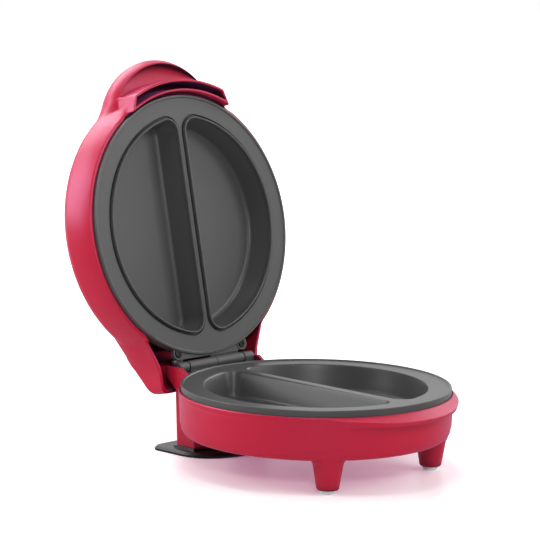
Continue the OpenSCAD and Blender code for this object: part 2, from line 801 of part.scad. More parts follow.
module upper_cooking_plate() {
    color(charcoal) in_lid() difference() {
        union() {
            translate([0, 0, closed_lip]) mirror([0, 0, 1]) plate_casting(true);
            difference() {
                union() {
                    translate([-tab_half, plate_r - 12, tab_face])
                        cube([2 * tab_half, hinge_y - plate_r + 12, tab_back - tab_face]);
                    translate([-ear_half, tab_edge, tab_face])
                        cube([2 * ear_half, hinge_y - tab_edge, tab_back - tab_face]);
                    both_sides() translate([tab_screw_x, tab_screw_y, tab_face])
                        cylinder(h = tab_back - tab_face, r = 4.8);
                }
                for (x = [-knuckle_w - washer_w, knuckle_w])
                    translate([x, hinge_y - 5, lid_rim - cut]) cube([knuckle_w + washer_w + 0.15, cut, 2 * cut]);
            }
            for (span = [[-ear_half, -knuckle_w - washer_w], [0.15, knuckle_w]]) {
                axle(span[0], span[1], barrel_r);
                across(span[0], span[1]) polygon([
                    [tab_edge - 1, tab_face], [hinge_y - barrel_r, tab_face],
                    [hinge_y - barrel_r, hinge_z], [hinge_y, hinge_z], [hinge_y + 1.5, tab_back],
                    [tab_edge - 1, tab_back]
                ]);
            }
        }
        axle(-cut * 2, cut * 2, pin_d / 2 + running_gap);
        both_sides() translate([tab_screw_x, tab_screw_y, tab_face - 1]) cylinder(h = 10, r = 1.7);
        both_sides() translate([tab_screw_x, tab_screw_y, closed_lip - 1])
            cylinder(h = tab_face - closed_lip + 1, r = 3.4);
    }
}

module upper_plate_screws() {
    color([0.12, 0.12, 0.13]) in_lid() both_sides()
        translate([tab_screw_x, tab_screw_y, tab_face]) screw(3.1, 1.2, 1.58, 12);
}

module upper_heating_element() {
    color(steel) in_lid() translate([0, 0, lid_back]) mirror([0, 0, 1]) heating_element();
}

module upper_element_clamps() {
    color(steel) in_lid() translate([0, 0, lid_back]) mirror([0, 0, 1]) element_clamps();
}

module upper_heat_shield() {
    z = lid_inner_top - 1.4 - sheet;
    color(steel) in_lid() difference() {
        union() {
            translate([0, 0, z]) cylinder(h = sheet, r = shield_r);
            difference() {
                translate([0, 0, z - 3]) cylinder(h = 3 + sheet, r = shield_r);
                translate([0, 0, z - cut]) cylinder(h = 2 * cut, r = shield_r - sheet);
            }
        }
    }
}

module lens() {
    cylinder(h = shell + 0.6, r = lens_d / 2 - 0.01);
    translate([0, 0, shell + 0.6 - eps]) cylinder(h = 0.5, r1 = lens_d / 2 - 0.01, r2 = lens_d / 2 - 0.6);
}

module power_light_lens() {
    color([0.80, 0.10, 0.08]) in_lid() translate([-lens_x, lens_y, lid_inner_top]) lens();
}

module ready_light_lens() {
    color([0.15, 0.65, 0.20]) in_lid() translate([lens_x, lens_y, lid_inner_top]) lens();
}

module lamp_holder() {
    color([0.90, 0.89, 0.84]) in_lid() translate([-13, lens_y - 3.5, lid_inner_top - 5]) difference() {
        cube([26, 7, 5]);
        for (x = [-lens_x, lens_x]) translate([x + 13, 3.5, -1]) cylinder(h = 10, r = 2);
    }
}

base_housing();
front_foot_pads();
rear_foot();
rear_foot_screws();
lower_cooking_plate();
lower_plate_screws();
lower_heating_element();
lower_element_clamps();
lower_heat_shield();
thermostat();
thermal_fuse();
terminal_block();
cord_gland();
hinge_pin();
hinge_washers();
lid_housing();
upper_cooking_plate();
upper_plate_screws();
upper_heating_element();
upper_element_clamps();
upper_heat_shield();
power_light_lens();
ready_light_lens();
lamp_holder();
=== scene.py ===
"""Electric omelette maker: materials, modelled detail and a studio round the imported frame."""

import math

import bmesh
import bpy
from mathutils import Matrix, Vector


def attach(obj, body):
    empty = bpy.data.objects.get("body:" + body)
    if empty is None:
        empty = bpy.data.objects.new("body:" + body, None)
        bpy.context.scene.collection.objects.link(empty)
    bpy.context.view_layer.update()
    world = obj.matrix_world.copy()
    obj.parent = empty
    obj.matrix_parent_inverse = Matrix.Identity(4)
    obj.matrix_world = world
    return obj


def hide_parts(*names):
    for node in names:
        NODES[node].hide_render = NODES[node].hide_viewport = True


bl_info = {
    "name": "Omelette Maker",
    "version": (1, 0, 0),
    "blender": (4, 5, 0),
    "location": "View3D > Sidebar > Omelette Maker",
    "description": "Dresses the packed omelette maker in its plastics, coatings and fine detail",
    "category": "Object",
}

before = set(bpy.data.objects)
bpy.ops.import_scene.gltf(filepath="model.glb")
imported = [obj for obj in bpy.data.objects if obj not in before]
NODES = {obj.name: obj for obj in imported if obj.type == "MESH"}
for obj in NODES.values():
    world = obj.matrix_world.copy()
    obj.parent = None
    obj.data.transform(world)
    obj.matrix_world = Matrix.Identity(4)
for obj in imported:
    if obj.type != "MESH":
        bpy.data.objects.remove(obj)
PLATE_Y = -0.0815
LOWER_LIP = 0.056
UPPER_LIP = 0.058
WELD = 1e-6

# Where the lid's surface is blended, on both sides: the middle, reach and rounds of smoothing
HANDLE_FOOT = ((0.051, 0.066, 0.229), 0.013, 16)
HANDLE_EDGE_END = ((0.0575, 0.0785, 0.2155), 0.008, 24)

# The lid plate's tab: half its width, its depth, and how far it is cut back at the ears and
# knuckles
TAB_HALF = 0.0335
TAB_DEPTH = 0.017
EAR_STEP = 0.0044
KNUCKLE_STEP = 0.005
SLOT_GAP = 0.0001
# Gaps between a tab and the barrels, at the outer and the middle knuckles, and how far a web
# sinks into its barrel
BARREL_GAP = 0.0006
OUTER_GAP = 0.001
MIDDLE_GAP = 0.00015
SUNK = 0.0002

# The studio: the picture in pixels, the sensor in millimetres, the rest in metres and in
# strengths of which 1 is white
PICTURE_WIDTH = 540
SENSOR_WIDTH = 36
FLOOR_RADIUS = 6
FLOOR_GLOW = 0.42
FLOOR_FRONT = 0.12
WORLD_AMBIENT = 0.16
WORLD_FRONT = 0.06
# Painted pink-purple shadow and reflection of the crimson base on the floor: its colour, and the
# reach of the occlusion that paints it
SHADOW_TINT = (0.58, 0.23, 0.44, 1)
SHADOW_REACH = 0.13
WHITE = (1, 1, 1, 1)
BEHIND = (0.72, 0.69, 0)
LAMP_TARGET = (0, 0, 0.1)
# Name, place, size and power of each lamp
LAMPS = (
    ("back_left_softbox", (-1.3, 1.3, 0.9), (1.3, 1.3), 27),
    ("back_top_softbox", (0.2, 1.3, 1.5), (1.3, 1.3), 22),
    ("right_softbox", (1.8, -0.2, 0.8), (1.3, 1.3), 12),
    ("front_right_softbox", (0.75, -1.65, 1.0), (1.3, 1.1), 16),
    ("camera_side_lamp", (-1.0, -1.1, 0.75), (0.22, 0.22), 6),
    ("overhead_lamp", (-0.3, -0.3, 1.8), (0.4, 0.4), 6),
)


# Sizes and colours

class PlasticSettings(bpy.types.PropertyGroup):
    crimson: bpy.props.FloatVectorProperty(
        name="Crimson", description="Colour of the moulded housings",
        subtype="COLOR", size=4, min=0, max=1, default=(0.52, 0.0070, 0.024, 1))
    # Painted shade: the near-black crimson painted deep in the housings' hollows, where shade falls
    crimson_shade: bpy.props.FloatVectorProperty(
        name="Shaded crimson", description="Colour of the housings deep in their hollows",
        subtype="COLOR", size=4, min=0, max=1, default=(0.010, 0.0006, 0.001, 1))
    crimson_gloss: bpy.props.FloatVectorProperty(
        name="Gloss tint", description="Tint of the reflections on the housings",
        subtype="COLOR", size=4, min=0, max=1, default=(0.85, 0.55, 1.0, 1))
    crimson_sheen: bpy.props.FloatVectorProperty(
        name="Sheen tint", description="Tint of the housings' soft sheen at a glancing angle",
        subtype="COLOR", size=4, min=0, max=1, default=(1.0, 0.16, 0.66, 1))
    crimson_roughness: bpy.props.FloatProperty(
        name="Roughness", description="Roughness of the housings", min=0, max=1, default=0.36)
    black: bpy.props.FloatVectorProperty(
        name="Black", description="Colour of the foot, the cord gland and the hinge washers",
        subtype="COLOR", size=4, min=0, max=1, default=(0.006, 0.0065, 0.0075, 1))
    rubber: bpy.props.FloatVectorProperty(
        name="Rubber", description="Colour of the pads under the legs",
        subtype="COLOR", size=4, min=0, max=1, default=(0.84, 0.90, 0.84, 1))
    insulator: bpy.props.FloatVectorProperty(
        name="Insulator", description="Colour of the pale moulded insulators",
        subtype="COLOR", size=4, min=0, max=1, default=(0.72, 0.68, 0.58, 1))
    lens_red: bpy.props.FloatVectorProperty(
        name="Red lens", description="Colour of the heating light",
        subtype="COLOR", size=4, min=0, max=1, default=(0.62, 0.010, 0.008, 1))
    lens_green: bpy.props.FloatVectorProperty(
        name="Green lens", description="Colour of the ready light",
        subtype="COLOR", size=4, min=0, max=1, default=(0.010, 0.42, 0.06, 1))


class MetalSettings(bpy.types.PropertyGroup):
    coating: bpy.props.FloatVectorProperty(
        name="Coating", description="Colour of the non-stick coating",
        subtype="COLOR", size=4, min=0, max=1, default=(0.075, 0.075, 0.075, 1))
    coating_roughness: bpy.props.FloatProperty(
        name="Coating roughness", description="Roughness of the coating",
        min=0, max=1, default=0.37)
    pebble: bpy.props.FloatProperty(
        name="Coating pebble", description="Width of the grains in the coating",
        subtype="DISTANCE", unit="LENGTH", min=0.0001, max=0.005, default=0.0006)
    steel: bpy.props.FloatVectorProperty(
        name="Steel", description="Colour of the zinc-plated screws, straps and pin",
        subtype="COLOR", size=4, min=0, max=1, default=(0.58, 0.57, 0.55, 1))
    blackened: bpy.props.FloatVectorProperty(
        name="Blackened steel", description="Colour of the dark screws in the hinge tab",
        subtype="COLOR", size=4, min=0, max=1, default=(0.030, 0.030, 0.033, 1))
    sheath: bpy.props.FloatVectorProperty(
        name="Sheath", description="Colour of the heating elements' tubes",
        subtype="COLOR", size=4, min=0, max=1, default=(0.30, 0.28, 0.26, 1))
    sheet: bpy.props.FloatVectorProperty(
        name="Sheet", description="Colour of the rolled heat shields",
        subtype="COLOR", size=4, min=0, max=1, default=(0.76, 0.76, 0.77, 1))


class PlateSettings(bpy.types.PropertyGroup):
    radius: bpy.props.FloatProperty(
        name="Plate radius", description="Outer radius of both cooking plates",
        subtype="DISTANCE", unit="LENGTH", min=0.05, max=0.15, default=0.090)
    face_drop: bpy.props.FloatProperty(
        name="Face drop", description="How far the face lies below the lip",
        subtype="DISTANCE", unit="LENGTH", min=0, max=0.003, default=0.0009)
    skirt: bpy.props.FloatProperty(
        name="Skirt", description="Height of the plate's skirt",
        subtype="DISTANCE", unit="LENGTH", min=0.002, max=0.02, default=0.0085)
    wall: bpy.props.FloatProperty(
        name="Wall", description="Thickness of the castings",
        subtype="DISTANCE", unit="LENGTH", min=0.001, max=0.004, default=0.002)
    pocket_radius: bpy.props.FloatProperty(
        name="Pocket radius", description="Radius of a pocket's curved side",
        subtype="DISTANCE", unit="LENGTH", min=0.03, max=0.12, default=0.0742)
    pocket_corner: bpy.props.FloatProperty(
        name="Pocket corner", description="Radius of a pocket's corners",
        subtype="DISTANCE", unit="LENGTH", min=0.003, max=0.02, default=0.009)
    bridge: bpy.props.FloatProperty(
        name="Half bridge", description="Half the width of the bridge between the pockets",
        subtype="DISTANCE", unit="LENGTH", min=0.001, max=0.01, default=0.0040)
    depth: bpy.props.FloatProperty(
        name="Pocket depth", description="Depth of a pocket below the lip",
        subtype="DISTANCE", unit="LENGTH", min=0.005, max=0.03, default=0.018)
    draft: bpy.props.FloatProperty(
        name="Draft", description="How far a pocket's wall leans in over its depth",
        subtype="DISTANCE", unit="LENGTH", min=0, max=0.006, default=0.0030)
    fillet: bpy.props.FloatProperty(
        name="Fillet", description="Radius between a pocket's wall and its floor",
        subtype="DISTANCE", unit="LENGTH", min=0.001, max=0.006, default=0.0030)
    bead_height: bpy.props.FloatProperty(
        name="Bead height", description="Height above the lip of the bead round an upper pocket",
        subtype="DISTANCE", unit="LENGTH", min=0, max=0.002, default=0.0009)


class HingeSettings(bpy.types.PropertyGroup):
    axis_y: bpy.props.FloatProperty(
        name="Axis place", description="The hinge axis behind the foot's centre",
        subtype="DISTANCE", unit="LENGTH", default=0.0145)
    axis_z: bpy.props.FloatProperty(
        name="Axis height", description="The hinge axis above the table",
        subtype="DISTANCE", unit="LENGTH", default=0.057)
    barrel: bpy.props.FloatProperty(
        name="Barrel radius", description="Outer radius of the knuckles",
        subtype="DISTANCE", unit="LENGTH", min=0.002, max=0.006, default=0.0038)
    bore: bpy.props.FloatProperty(
        name="Bore radius", description="Radius of the bore for the pin",
        subtype="DISTANCE", unit="LENGTH", min=0.001, max=0.003, default=0.00155)
    knuckle: bpy.props.FloatProperty(
        name="Knuckle width", description="Width of each of the two middle knuckles",
        subtype="DISTANCE", unit="LENGTH", min=0.01, max=0.04, default=0.026)
    ear: bpy.props.FloatProperty(
        name="Ear end", description="How far the outer knuckles reach from the middle",
        subtype="DISTANCE", unit="LENGTH", min=0.02, max=0.05, default=0.0354)
    screw_x: bpy.props.FloatProperty(
        name="Screw place", description="How far the tab's screws are from the middle",
        subtype="DISTANCE", unit="LENGTH", min=0.01, max=0.05, default=0.0305)
    screw_y: bpy.props.FloatProperty(
        name="Screw distance", description="How far the tab's screws are behind the foot's centre",
        subtype="DISTANCE", unit="LENGTH", default=0.0048)
    tab_z: bpy.props.FloatProperty(
        name="Tab height", description="Height of the tab's face with the lid closed",
        subtype="DISTANCE", unit="LENGTH", default=0.0594)
    tab_back: bpy.props.FloatProperty(
        name="Tab back", description="Height of the tab's back with the lid closed",
        subtype="DISTANCE", unit="LENGTH", default=0.062)
    open_angle: bpy.props.FloatProperty(
        name="Open angle", description="How far the lid stands open at rest",
        subtype="ANGLE", default=math.radians(102))


class PadSettings(bpy.types.PropertyGroup):
    place_x: bpy.props.FloatProperty(
        name="Leg place", description="How far the legs are from the middle",
        subtype="DISTANCE", unit="LENGTH", default=0.0503)
    place_y: bpy.props.FloatProperty(
        name="Leg distance", description="Where the legs stand, from the rear foot's centre",
        subtype="DISTANCE", unit="LENGTH", default=-0.1395)
    radius: bpy.props.FloatProperty(
        name="Pad radius", description="Radius of a pad",
        subtype="DISTANCE", unit="LENGTH", min=0.002, max=0.01, default=0.0051)
    height: bpy.props.FloatProperty(
        name="Pad height", description="How far a pad stands out of its leg",
        subtype="DISTANCE", unit="LENGTH", min=0.001, max=0.005, default=0.0024)


class StudioSettings(bpy.types.PropertyGroup):
    camera_place: bpy.props.FloatVectorProperty(
        name="Camera", description="Where the camera stands",
        subtype="TRANSLATION", unit="LENGTH", size=3, default=(-1.23744, -1.22907, 0.38739))
    camera_yaw: bpy.props.FloatProperty(
        name="Yaw", description="The camera's turn about the vertical, from looking along +Y",
        subtype="ANGLE", default=math.radians(-46.082))
    camera_pitch: bpy.props.FloatProperty(
        name="Pitch", description="How far the camera looks down",
        subtype="ANGLE", default=math.radians(8.617))
    camera_roll: bpy.props.FloatProperty(
        name="Roll", description="The camera's roll", subtype="ANGLE", default=math.radians(0.758))
    focal_pixels: bpy.props.FloatProperty(
        name="Focal length", description="Focal length in pixels of a picture 540 pixels wide",
        min=100, max=9000, default=2588)


def settings(name):
    return getattr(bpy.context.scene, name)


# Node helpers

def new_material(name):
    material = bpy.data.materials.new(name)
    material.use_nodes = True
    nodes = material.node_tree.nodes
    return material, nodes, material.node_tree.links, nodes["Principled BSDF"]


def set_inputs(node, **values):
    for name, value in values.items():
        node.inputs[name.replace("_", " ")].default_value = value


def new_group(name, inputs, outputs):
    group = bpy.data.node_groups.new(name, "ShaderNodeTree")
    for label, kind, value in inputs:
        socket = group.interface.new_socket(label, in_out="INPUT", socket_type=kind)
        if value is not None:
            socket.default_value = value
    for label, kind in outputs:
        group.interface.new_socket(label, in_out="OUTPUT", socket_type=kind)
    return group, group.nodes.new("NodeGroupInput"), group.nodes.new("NodeGroupOutput")


def fine_grain():
    """Height and tone of a fine grain of the given size in metres"""
    name = "fine_grain"
    if name in bpy.data.node_groups:
        return bpy.data.node_groups[name]
    group, inward, outward = new_group(
        name,
        [("Size", "NodeSocketFloat", 0.001), ("Contrast", "NodeSocketFloat", 0.1)],
        [("Height", "NodeSocketFloat"), ("Tone", "NodeSocketFloat")])
    nodes, links = group.nodes, group.links
    place = nodes.new("ShaderNodeTexCoord")
    count = nodes.new("ShaderNodeMath")
    count.operation = "DIVIDE"
    count.inputs[0].default_value = 1
    noise = nodes.new("ShaderNodeTexNoise")
    noise.inputs["Detail"].default_value = 3
    noise.inputs["Roughness"].default_value = 0.6
    tone = nodes.new("ShaderNodeMath")
    tone.operation = "MULTIPLY_ADD"
    centred = nodes.new("ShaderNodeMath")
    centred.operation = "SUBTRACT"
    centred.inputs[1].default_value = 0.5
    tone.inputs[2].default_value = 1
    links.new(inward.outputs["Size"], count.inputs[1])
    links.new(place.outputs["Object"], noise.inputs["Vector"])
    links.new(count.outputs[0], noise.inputs["Scale"])
    links.new(noise.outputs["Fac"], centred.inputs[0])
    links.new(centred.outputs[0], tone.inputs[0])
    links.new(inward.outputs["Contrast"], tone.inputs[1])
    links.new(noise.outputs["Fac"], outward.inputs["Height"])
    links.new(tone.outputs[0], outward.inputs["Tone"])
    return group


def hollow_shade():
    """1 in the open, falling to 0 deep in a hollow or behind an edge"""
    name = "hollow_shade"
    if name in bpy.data.node_groups:
        return bpy.data.node_groups[name]
    group, inward, outward = new_group(
        name,
        [("Reach", "NodeSocketFloat", 0.02), ("Dark At", "NodeSocketFloat", 0.1),
         ("Clear At", "NodeSocketFloat", 0.6)],
        [("Open", "NodeSocketFloat")])
    nodes, links = group.nodes, group.links
    light = nodes.new("ShaderNodeAmbientOcclusion")
    light.samples = 8
    ramp = nodes.new("ShaderNodeMapRange")
    ramp.interpolation_type = "SMOOTHSTEP"
    links.new(inward.outputs["Reach"], light.inputs["Distance"])
    links.new(light.outputs["AO"], ramp.inputs["Value"])
    links.new(inward.outputs["Dark At"], ramp.inputs["From Min"])
    links.new(inward.outputs["Clear At"], ramp.inputs["From Max"])
    links.new(ramp.outputs["Result"], outward.inputs["Open"])
    return group


def place_group(nodes, group, **values):
    node = nodes.new("ShaderNodeGroup")
    node.node_tree = group
    set_inputs(node, **values)
    return node


def ramp(nodes, links, value, smooth=False, **limits):
    """The value, brought from one range to another"""
    node = nodes.new("ShaderNodeMapRange")
    if smooth:
        node.interpolation_type = "SMOOTHSTEP"
    set_inputs(node, **limits)
    links.new(value, node.inputs["Value"])
    return node.outputs["Result"]


def mix_colours(nodes, links, factor, first, second):
    mixed = nodes.new("ShaderNodeMix")
    mixed.data_type = "RGBA"
    mixed.inputs[6].default_value = first
    mixed.inputs[7].default_value = second
    links.new(factor, mixed.inputs["Factor"])
    return mixed.outputs[2]


def mix_shaders(nodes, links, factor, first, second):
    mixed = nodes.new("ShaderNodeMixShader")
    links.new(factor, mixed.inputs["Fac"])
    links.new(first.outputs[0], mixed.inputs[1])
    links.new(second.outputs[0], mixed.inputs[2])
    return mixed


def tone_shader(nodes, links, shader, colour, tone):
    """Give the shader the colour, lightened and darkened by a tone that is about 1"""
    scaled = nodes.new("ShaderNodeVectorMath")
    scaled.operation = "SCALE"
    if hasattr(colour, "is_output"):
        links.new(colour, scaled.inputs[0])
    else:
        scaled.inputs[0].default_value = colour[:3]
    links.new(tone, scaled.inputs["Scale"])
    links.new(scaled.outputs[0], shader.inputs["Base Color"])


def rounded_bump(nodes, links, shader, height, strength, distance, edge=0.0):
    """Bump from a height, on edges rounded by the given radius"""
    bump = nodes.new("ShaderNodeBump")
    set_inputs(bump, Strength=strength, Distance=distance)
    links.new(height, bump.inputs["Height"])
    if edge:
        rounded = nodes.new("ShaderNodeBevel")
        rounded.samples = 6
        rounded.inputs["Radius"].default_value = edge
        links.new(rounded.outputs["Normal"], bump.inputs["Normal"])
    links.new(bump.outputs["Normal"], shader.inputs["Normal"])


# Finishes

def crimson_moulding():
    plastic = settings("omelette_plastic")
    material, nodes, links, shader = new_material("crimson_moulding")
    set_inputs(shader, Specular_IOR_Level=0.72,
               Specular_Tint=plastic.crimson_gloss, Sheen_Weight=0.22,
               Sheen_Roughness=0.42, Sheen_Tint=plastic.crimson_sheen)
    # Painted shade: ambient occlusion mixes the colour towards crimson_shade deep in hollows and
    # behind edges, and roughens the gloss there
    hollow = place_group(nodes, hollow_shade(), Reach=0.024, Dark_At=0.30, Clear_At=0.56)
    depth = hollow.outputs["Open"]
    colour = mix_colours(nodes, links, depth, plastic.crimson_shade, plastic.crimson)
    dull = ramp(nodes, links, depth, To_Min=1.0, To_Max=plastic.crimson_roughness)
    links.new(dull, shader.inputs["Roughness"])
    flow = place_group(nodes, fine_grain(), Size=0.035, Contrast=0.08)
    tone_shader(nodes, links, shader, colour, flow.outputs["Tone"])
    spark = place_group(nodes, fine_grain(), Size=0.00045, Contrast=0)
    rounded_bump(nodes, links, shader, spark.outputs["Height"], 0.12, 0.00004, edge=0.0014)
    return material


def grained(name, colour, size, contrast, relief, edge=0.0, **values):
    """A finish whose fine grain shows in its tone and in its relief (strength, distance)"""
    material, nodes, links, shader = new_material(name)
    set_inputs(shader, **values)
    grain = place_group(nodes, fine_grain(), Size=size, Contrast=contrast)
    tone_shader(nodes, links, shader, colour, grain.outputs["Tone"])
    rounded_bump(nodes, links, shader, grain.outputs["Height"], *relief, edge=edge)
    return material


def black_moulding():
    return grained("black_moulding", settings("omelette_plastic").black, 0.0006, 0.5,
                   (0.25, 0.00006), edge=0.0005, Roughness=0.38)


def soft_rubber():
    return grained("pale_rubber", settings("omelette_plastic").rubber, 0.0012, 0.16,
                   (0.3, 0.00005), Roughness=0.62, Subsurface_Weight=0.1, Subsurface_Scale=0.002)


def moulded_insulator():
    return grained("pale_insulator", settings("omelette_plastic").insulator, 0.0015, 0.12,
                   (0.2, 0.00005), edge=0.0003, Roughness=0.55)


def blackened_steel():
    return grained("blackened_steel", settings("omelette_metal").blackened, 0.0005, 0.4,
                   (0.2, 0.00004), Roughness=0.34, Metallic=0.6)


def nonstick_coating():
    """Dark coating with a fine pebble, and painted shade that darkens its grooves and hollows"""
    metal = settings("omelette_metal")
    material, nodes, links, shader = new_material("nonstick_coating")
    set_inputs(shader, Roughness=metal.coating_roughness, Specular_IOR_Level=0.5)
    # Painted shade: ambient occlusion darkens the coating to 0.15 of its colour in grooves and
    # hollows
    hollow = place_group(nodes, hollow_shade(), Reach=0.0026, Dark_At=0.10, Clear_At=0.55)
    groove_shade = tuple(0.15 * c for c in metal.coating[:3]) + (1,)
    colour = mix_colours(nodes, links, hollow.outputs["Open"], groove_shade, metal.coating)
    pebble = place_group(nodes, fine_grain(), Size=metal.pebble, Contrast=0.35)
    tone_shader(nodes, links, shader, colour, pebble.outputs["Tone"])
    rounded_bump(nodes, links, shader, pebble.outputs["Height"], 0.2, 0.00006, edge=0.0004)
    return material


def bare_metal(name, colour, roughness, grain_size, contrast, stretch=(1, 1, 1)):
    material, nodes, links, shader = new_material(name)
    set_inputs(shader, Metallic=1.0)
    place = nodes.new("ShaderNodeTexCoord")
    mapping = nodes.new("ShaderNodeMapping")
    mapping.inputs["Scale"].default_value = [s / grain_size for s in stretch]
    noise = nodes.new("ShaderNodeTexNoise")
    set_inputs(noise, Scale=1.0, Detail=4.0)
    links.new(place.outputs["Object"], mapping.inputs["Vector"])
    links.new(mapping.outputs[0], noise.inputs["Vector"])
    grain = noise.outputs["Fac"]
    rough = ramp(nodes, links, grain, To_Min=roughness - 0.1, To_Max=roughness + 0.12)
    links.new(rough, shader.inputs["Roughness"])
    tone = ramp(nodes, links, grain, To_Min=1 - contrast, To_Max=1 + contrast)
    tone_shader(nodes, links, shader, colour, tone)
    rounded_bump(nodes, links, shader, grain, 0.15, 0.00004, edge=0.0003)
    return material


def tinted_lens(name, colour):
    """A clear tinted plastic with faint ribs inside"""
    material, nodes, links, shader = new_material(name)
    set_inputs(shader, Roughness=0.12, IOR=1.49, Coat_Weight=0.4, Coat_Roughness=0.05)
    place = nodes.new("ShaderNodeTexCoord")
    ribs = nodes.new("ShaderNodeTexWave")
    set_inputs(ribs, Scale=400.0, Distortion=0.0)
    links.new(place.outputs["Object"], ribs.inputs["Vector"])
    tone = ramp(nodes, links, ribs.outputs["Fac"], To_Min=0.8, To_Max=1.1)
    tone_shader(nodes, links, shader, colour, tone)
    rounded_bump(nodes, links, shader, ribs.outputs["Fac"], 0.1, 0.00005, edge=0.0004)
    return material


def dress(names, material):
    for name in names:
        node = NODES[name]
        node.data.materials.clear()
        node.data.materials.append(material)


class OMELETTE_OT_finishes(bpy.types.Operator):
    """Give each CAD node its procedural finish"""
    bl_idname = "omelette.finishes"
    bl_label = "Finishes"

    def execute(self, context):
        plastic, metal = settings("omelette_plastic"), settings("omelette_metal")
        dress(("base_housing", "lid_housing"), crimson_moulding())
        dress(("rear_foot", "cord_gland"), black_moulding())
        dress(("front_foot_pads",), soft_rubber())
        dress(("lower_cooking_plate", "upper_cooking_plate"), nonstick_coating())
        dress(("upper_plate_screws", "hinge_washers"), blackened_steel())
        dress(("rear_foot_screws", "lower_plate_screws", "hinge_pin", "lower_element_clamps",
               "upper_element_clamps"), bare_metal("plain_steel", metal.steel, 0.32, 0.002, 0.08))
        dress(("lower_heating_element", "upper_heating_element"),
              bare_metal("element_sheath", metal.sheath, 0.45, 0.004, 0.2))
        dress(("lower_heat_shield", "upper_heat_shield"),
              bare_metal("rolled_sheet", metal.sheet, 0.35, 0.003, 0.05, stretch=(1, 12, 12)))
        dress(("thermostat", "thermal_fuse", "terminal_block", "lamp_holder"), moulded_insulator())
        dress(("power_light_lens",), tinted_lens("red_lens", plastic.lens_red))
        dress(("ready_light_lens",), tinted_lens("green_lens", plastic.lens_green))
        return {"FINISHED"}


# Modelling helpers

def begin():
    """Object mode, with nothing selected"""
    if bpy.context.object and bpy.context.object.mode != "OBJECT":
        bpy.ops.object.mode_set(mode="OBJECT")
    bpy.ops.object.select_all(action="DESELECT")


def select_only(piece):
    begin()
    piece.select_set(True)
    bpy.context.view_layer.objects.active = piece


def duplicate(piece):
    select_only(piece)
    bpy.ops.object.duplicate()
    return bpy.context.object


def weld():
    """In edit mode, merge doubled corners and turn every face outwards"""
    bpy.ops.mesh.select_mode(type="VERT")
    bpy.ops.mesh.select_all(action="SELECT")
    bpy.ops.mesh.remove_doubles(threshold=WELD)
    bpy.ops.mesh.normals_make_consistent(inside=False)


def outline_face(name, points, height=0.0):
    """A circle's face, its corners moved to the given outline, left in edit mode"""
    begin()
    bpy.ops.mesh.primitive_circle_add(vertices=len(points), radius=0.01, fill_type="NGON")
    piece = bpy.context.object
    piece.name = name
    for vertex, (x, y) in zip(piece.data.vertices, points):
        vertex.co = (x, y, height)
    bpy.ops.object.mode_set(mode="EDIT")
    bpy.ops.mesh.select_all(action="SELECT")
    bpy.ops.mesh.normals_make_consistent(inside=False)
    mesh = bmesh.from_edit_mesh(piece.data)
    if sum(face.normal.z for face in mesh.faces) < 0:
        bpy.ops.mesh.flip_normals()
    bpy.ops.mesh.select_mode(type="FACE")
    bpy.ops.mesh.select_all(action="SELECT")
    return piece


def inset_steps(profile):
    """Inset the selected face through the (inwards, height) steps that follow the first"""
    for (inward, height), (next_inward, next_height) in zip(profile, profile[1:]):
        bpy.ops.mesh.inset(thickness=next_inward - inward, depth=next_height - height,
                           use_even_offset=True)


def select_edges(piece, test):
    """In edit mode, select the edges that pass the test, which also gets their middle"""
    bpy.ops.mesh.select_mode(type="EDGE")
    bpy.ops.mesh.select_all(action="DESELECT")
    mesh = bmesh.from_edit_mesh(piece.data)
    for edge in mesh.edges:
        a, b = edge.verts
        if test(edge, (a.co + b.co) / 2):
            edge.select = True
    mesh.select_flush(True)
    bmesh.update_edit_mesh(piece.data)


def select_faces(piece, test):
    """In edit mode, select the faces whose centre passes the test"""
    bpy.ops.mesh.select_mode(type="FACE")
    bpy.ops.mesh.select_all(action="DESELECT")
    mesh = bmesh.from_edit_mesh(piece.data)
    for face in mesh.faces:
        if test(face.calc_center_median()):
            face.select = True
    mesh.select_flush(True)
    bmesh.update_edit_mesh(piece.data)


def apply_modifier(piece, kind, **values):
    modifier = piece.modifiers.new(kind.lower(), kind)
    for name, value in values.items():
        setattr(modifier, name, value)
    bpy.context.view_layer.objects.active = piece
    bpy.ops.object.modifier_apply(modifier=modifier.name)


def join(pieces):
    """Join the pieces into the first"""
    begin()
    for piece in pieces:
        piece.select_set(True)
    bpy.context.view_layer.objects.active = pieces[0]
    if len(pieces) > 1:
        bpy.ops.object.join()
    return pieces[0]


def smooth(piece, angle=35):
    select_only(piece)
    bpy.ops.object.shade_smooth_by_angle(angle=math.radians(angle))
    apply_modifier(piece, "WEIGHTED_NORMAL", keep_sharp=True, weight=100)


def settle(piece, matrix=None):
    """Put the object at the origin, with its place in its mesh"""
    select_only(piece)
    if matrix:
        piece.matrix_world = matrix @ piece.matrix_world
    bpy.ops.object.transform_apply(location=True, rotation=True, scale=True)


def opened():
    """The turn from the closed lid to the lid at rest"""
    hinge = settings("omelette_hinge")
    axis = Matrix.Translation((0, hinge.axis_y, hinge.axis_z))
    return axis @ Matrix.Rotation(-hinge.open_angle, 4, "X") @ axis.inverted()


def finish_piece(piece, node, body, material):
    """Give the piece its material, attach it to the body it rides on and hide the CAD node it
    stands for
    """
    piece.data.materials.clear()
    piece.data.materials.append(bpy.data.materials[material])
    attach(piece, body)
    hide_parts(node)


def merged_copy(node, name):
    """A copy of a CAD node's mesh, with its loose triangles merged"""
    source = NODES[node]
    piece = source.copy()
    piece.data = source.data.copy()
    piece.name = name
    piece.parent = None
    bpy.context.scene.collection.objects.link(piece)
    piece.matrix_world = source.matrix_world
    select_only(piece)
    bpy.ops.mesh.customdata_custom_splitnormals_clear()
    bpy.ops.object.mode_set(mode="EDIT")
    bpy.ops.mesh.select_mode(type="VERT")
    bpy.ops.mesh.select_all(action="SELECT")
    bpy.ops.mesh.remove_doubles(threshold=2e-6)
    bpy.ops.object.mode_set(mode="OBJECT")
    return piece


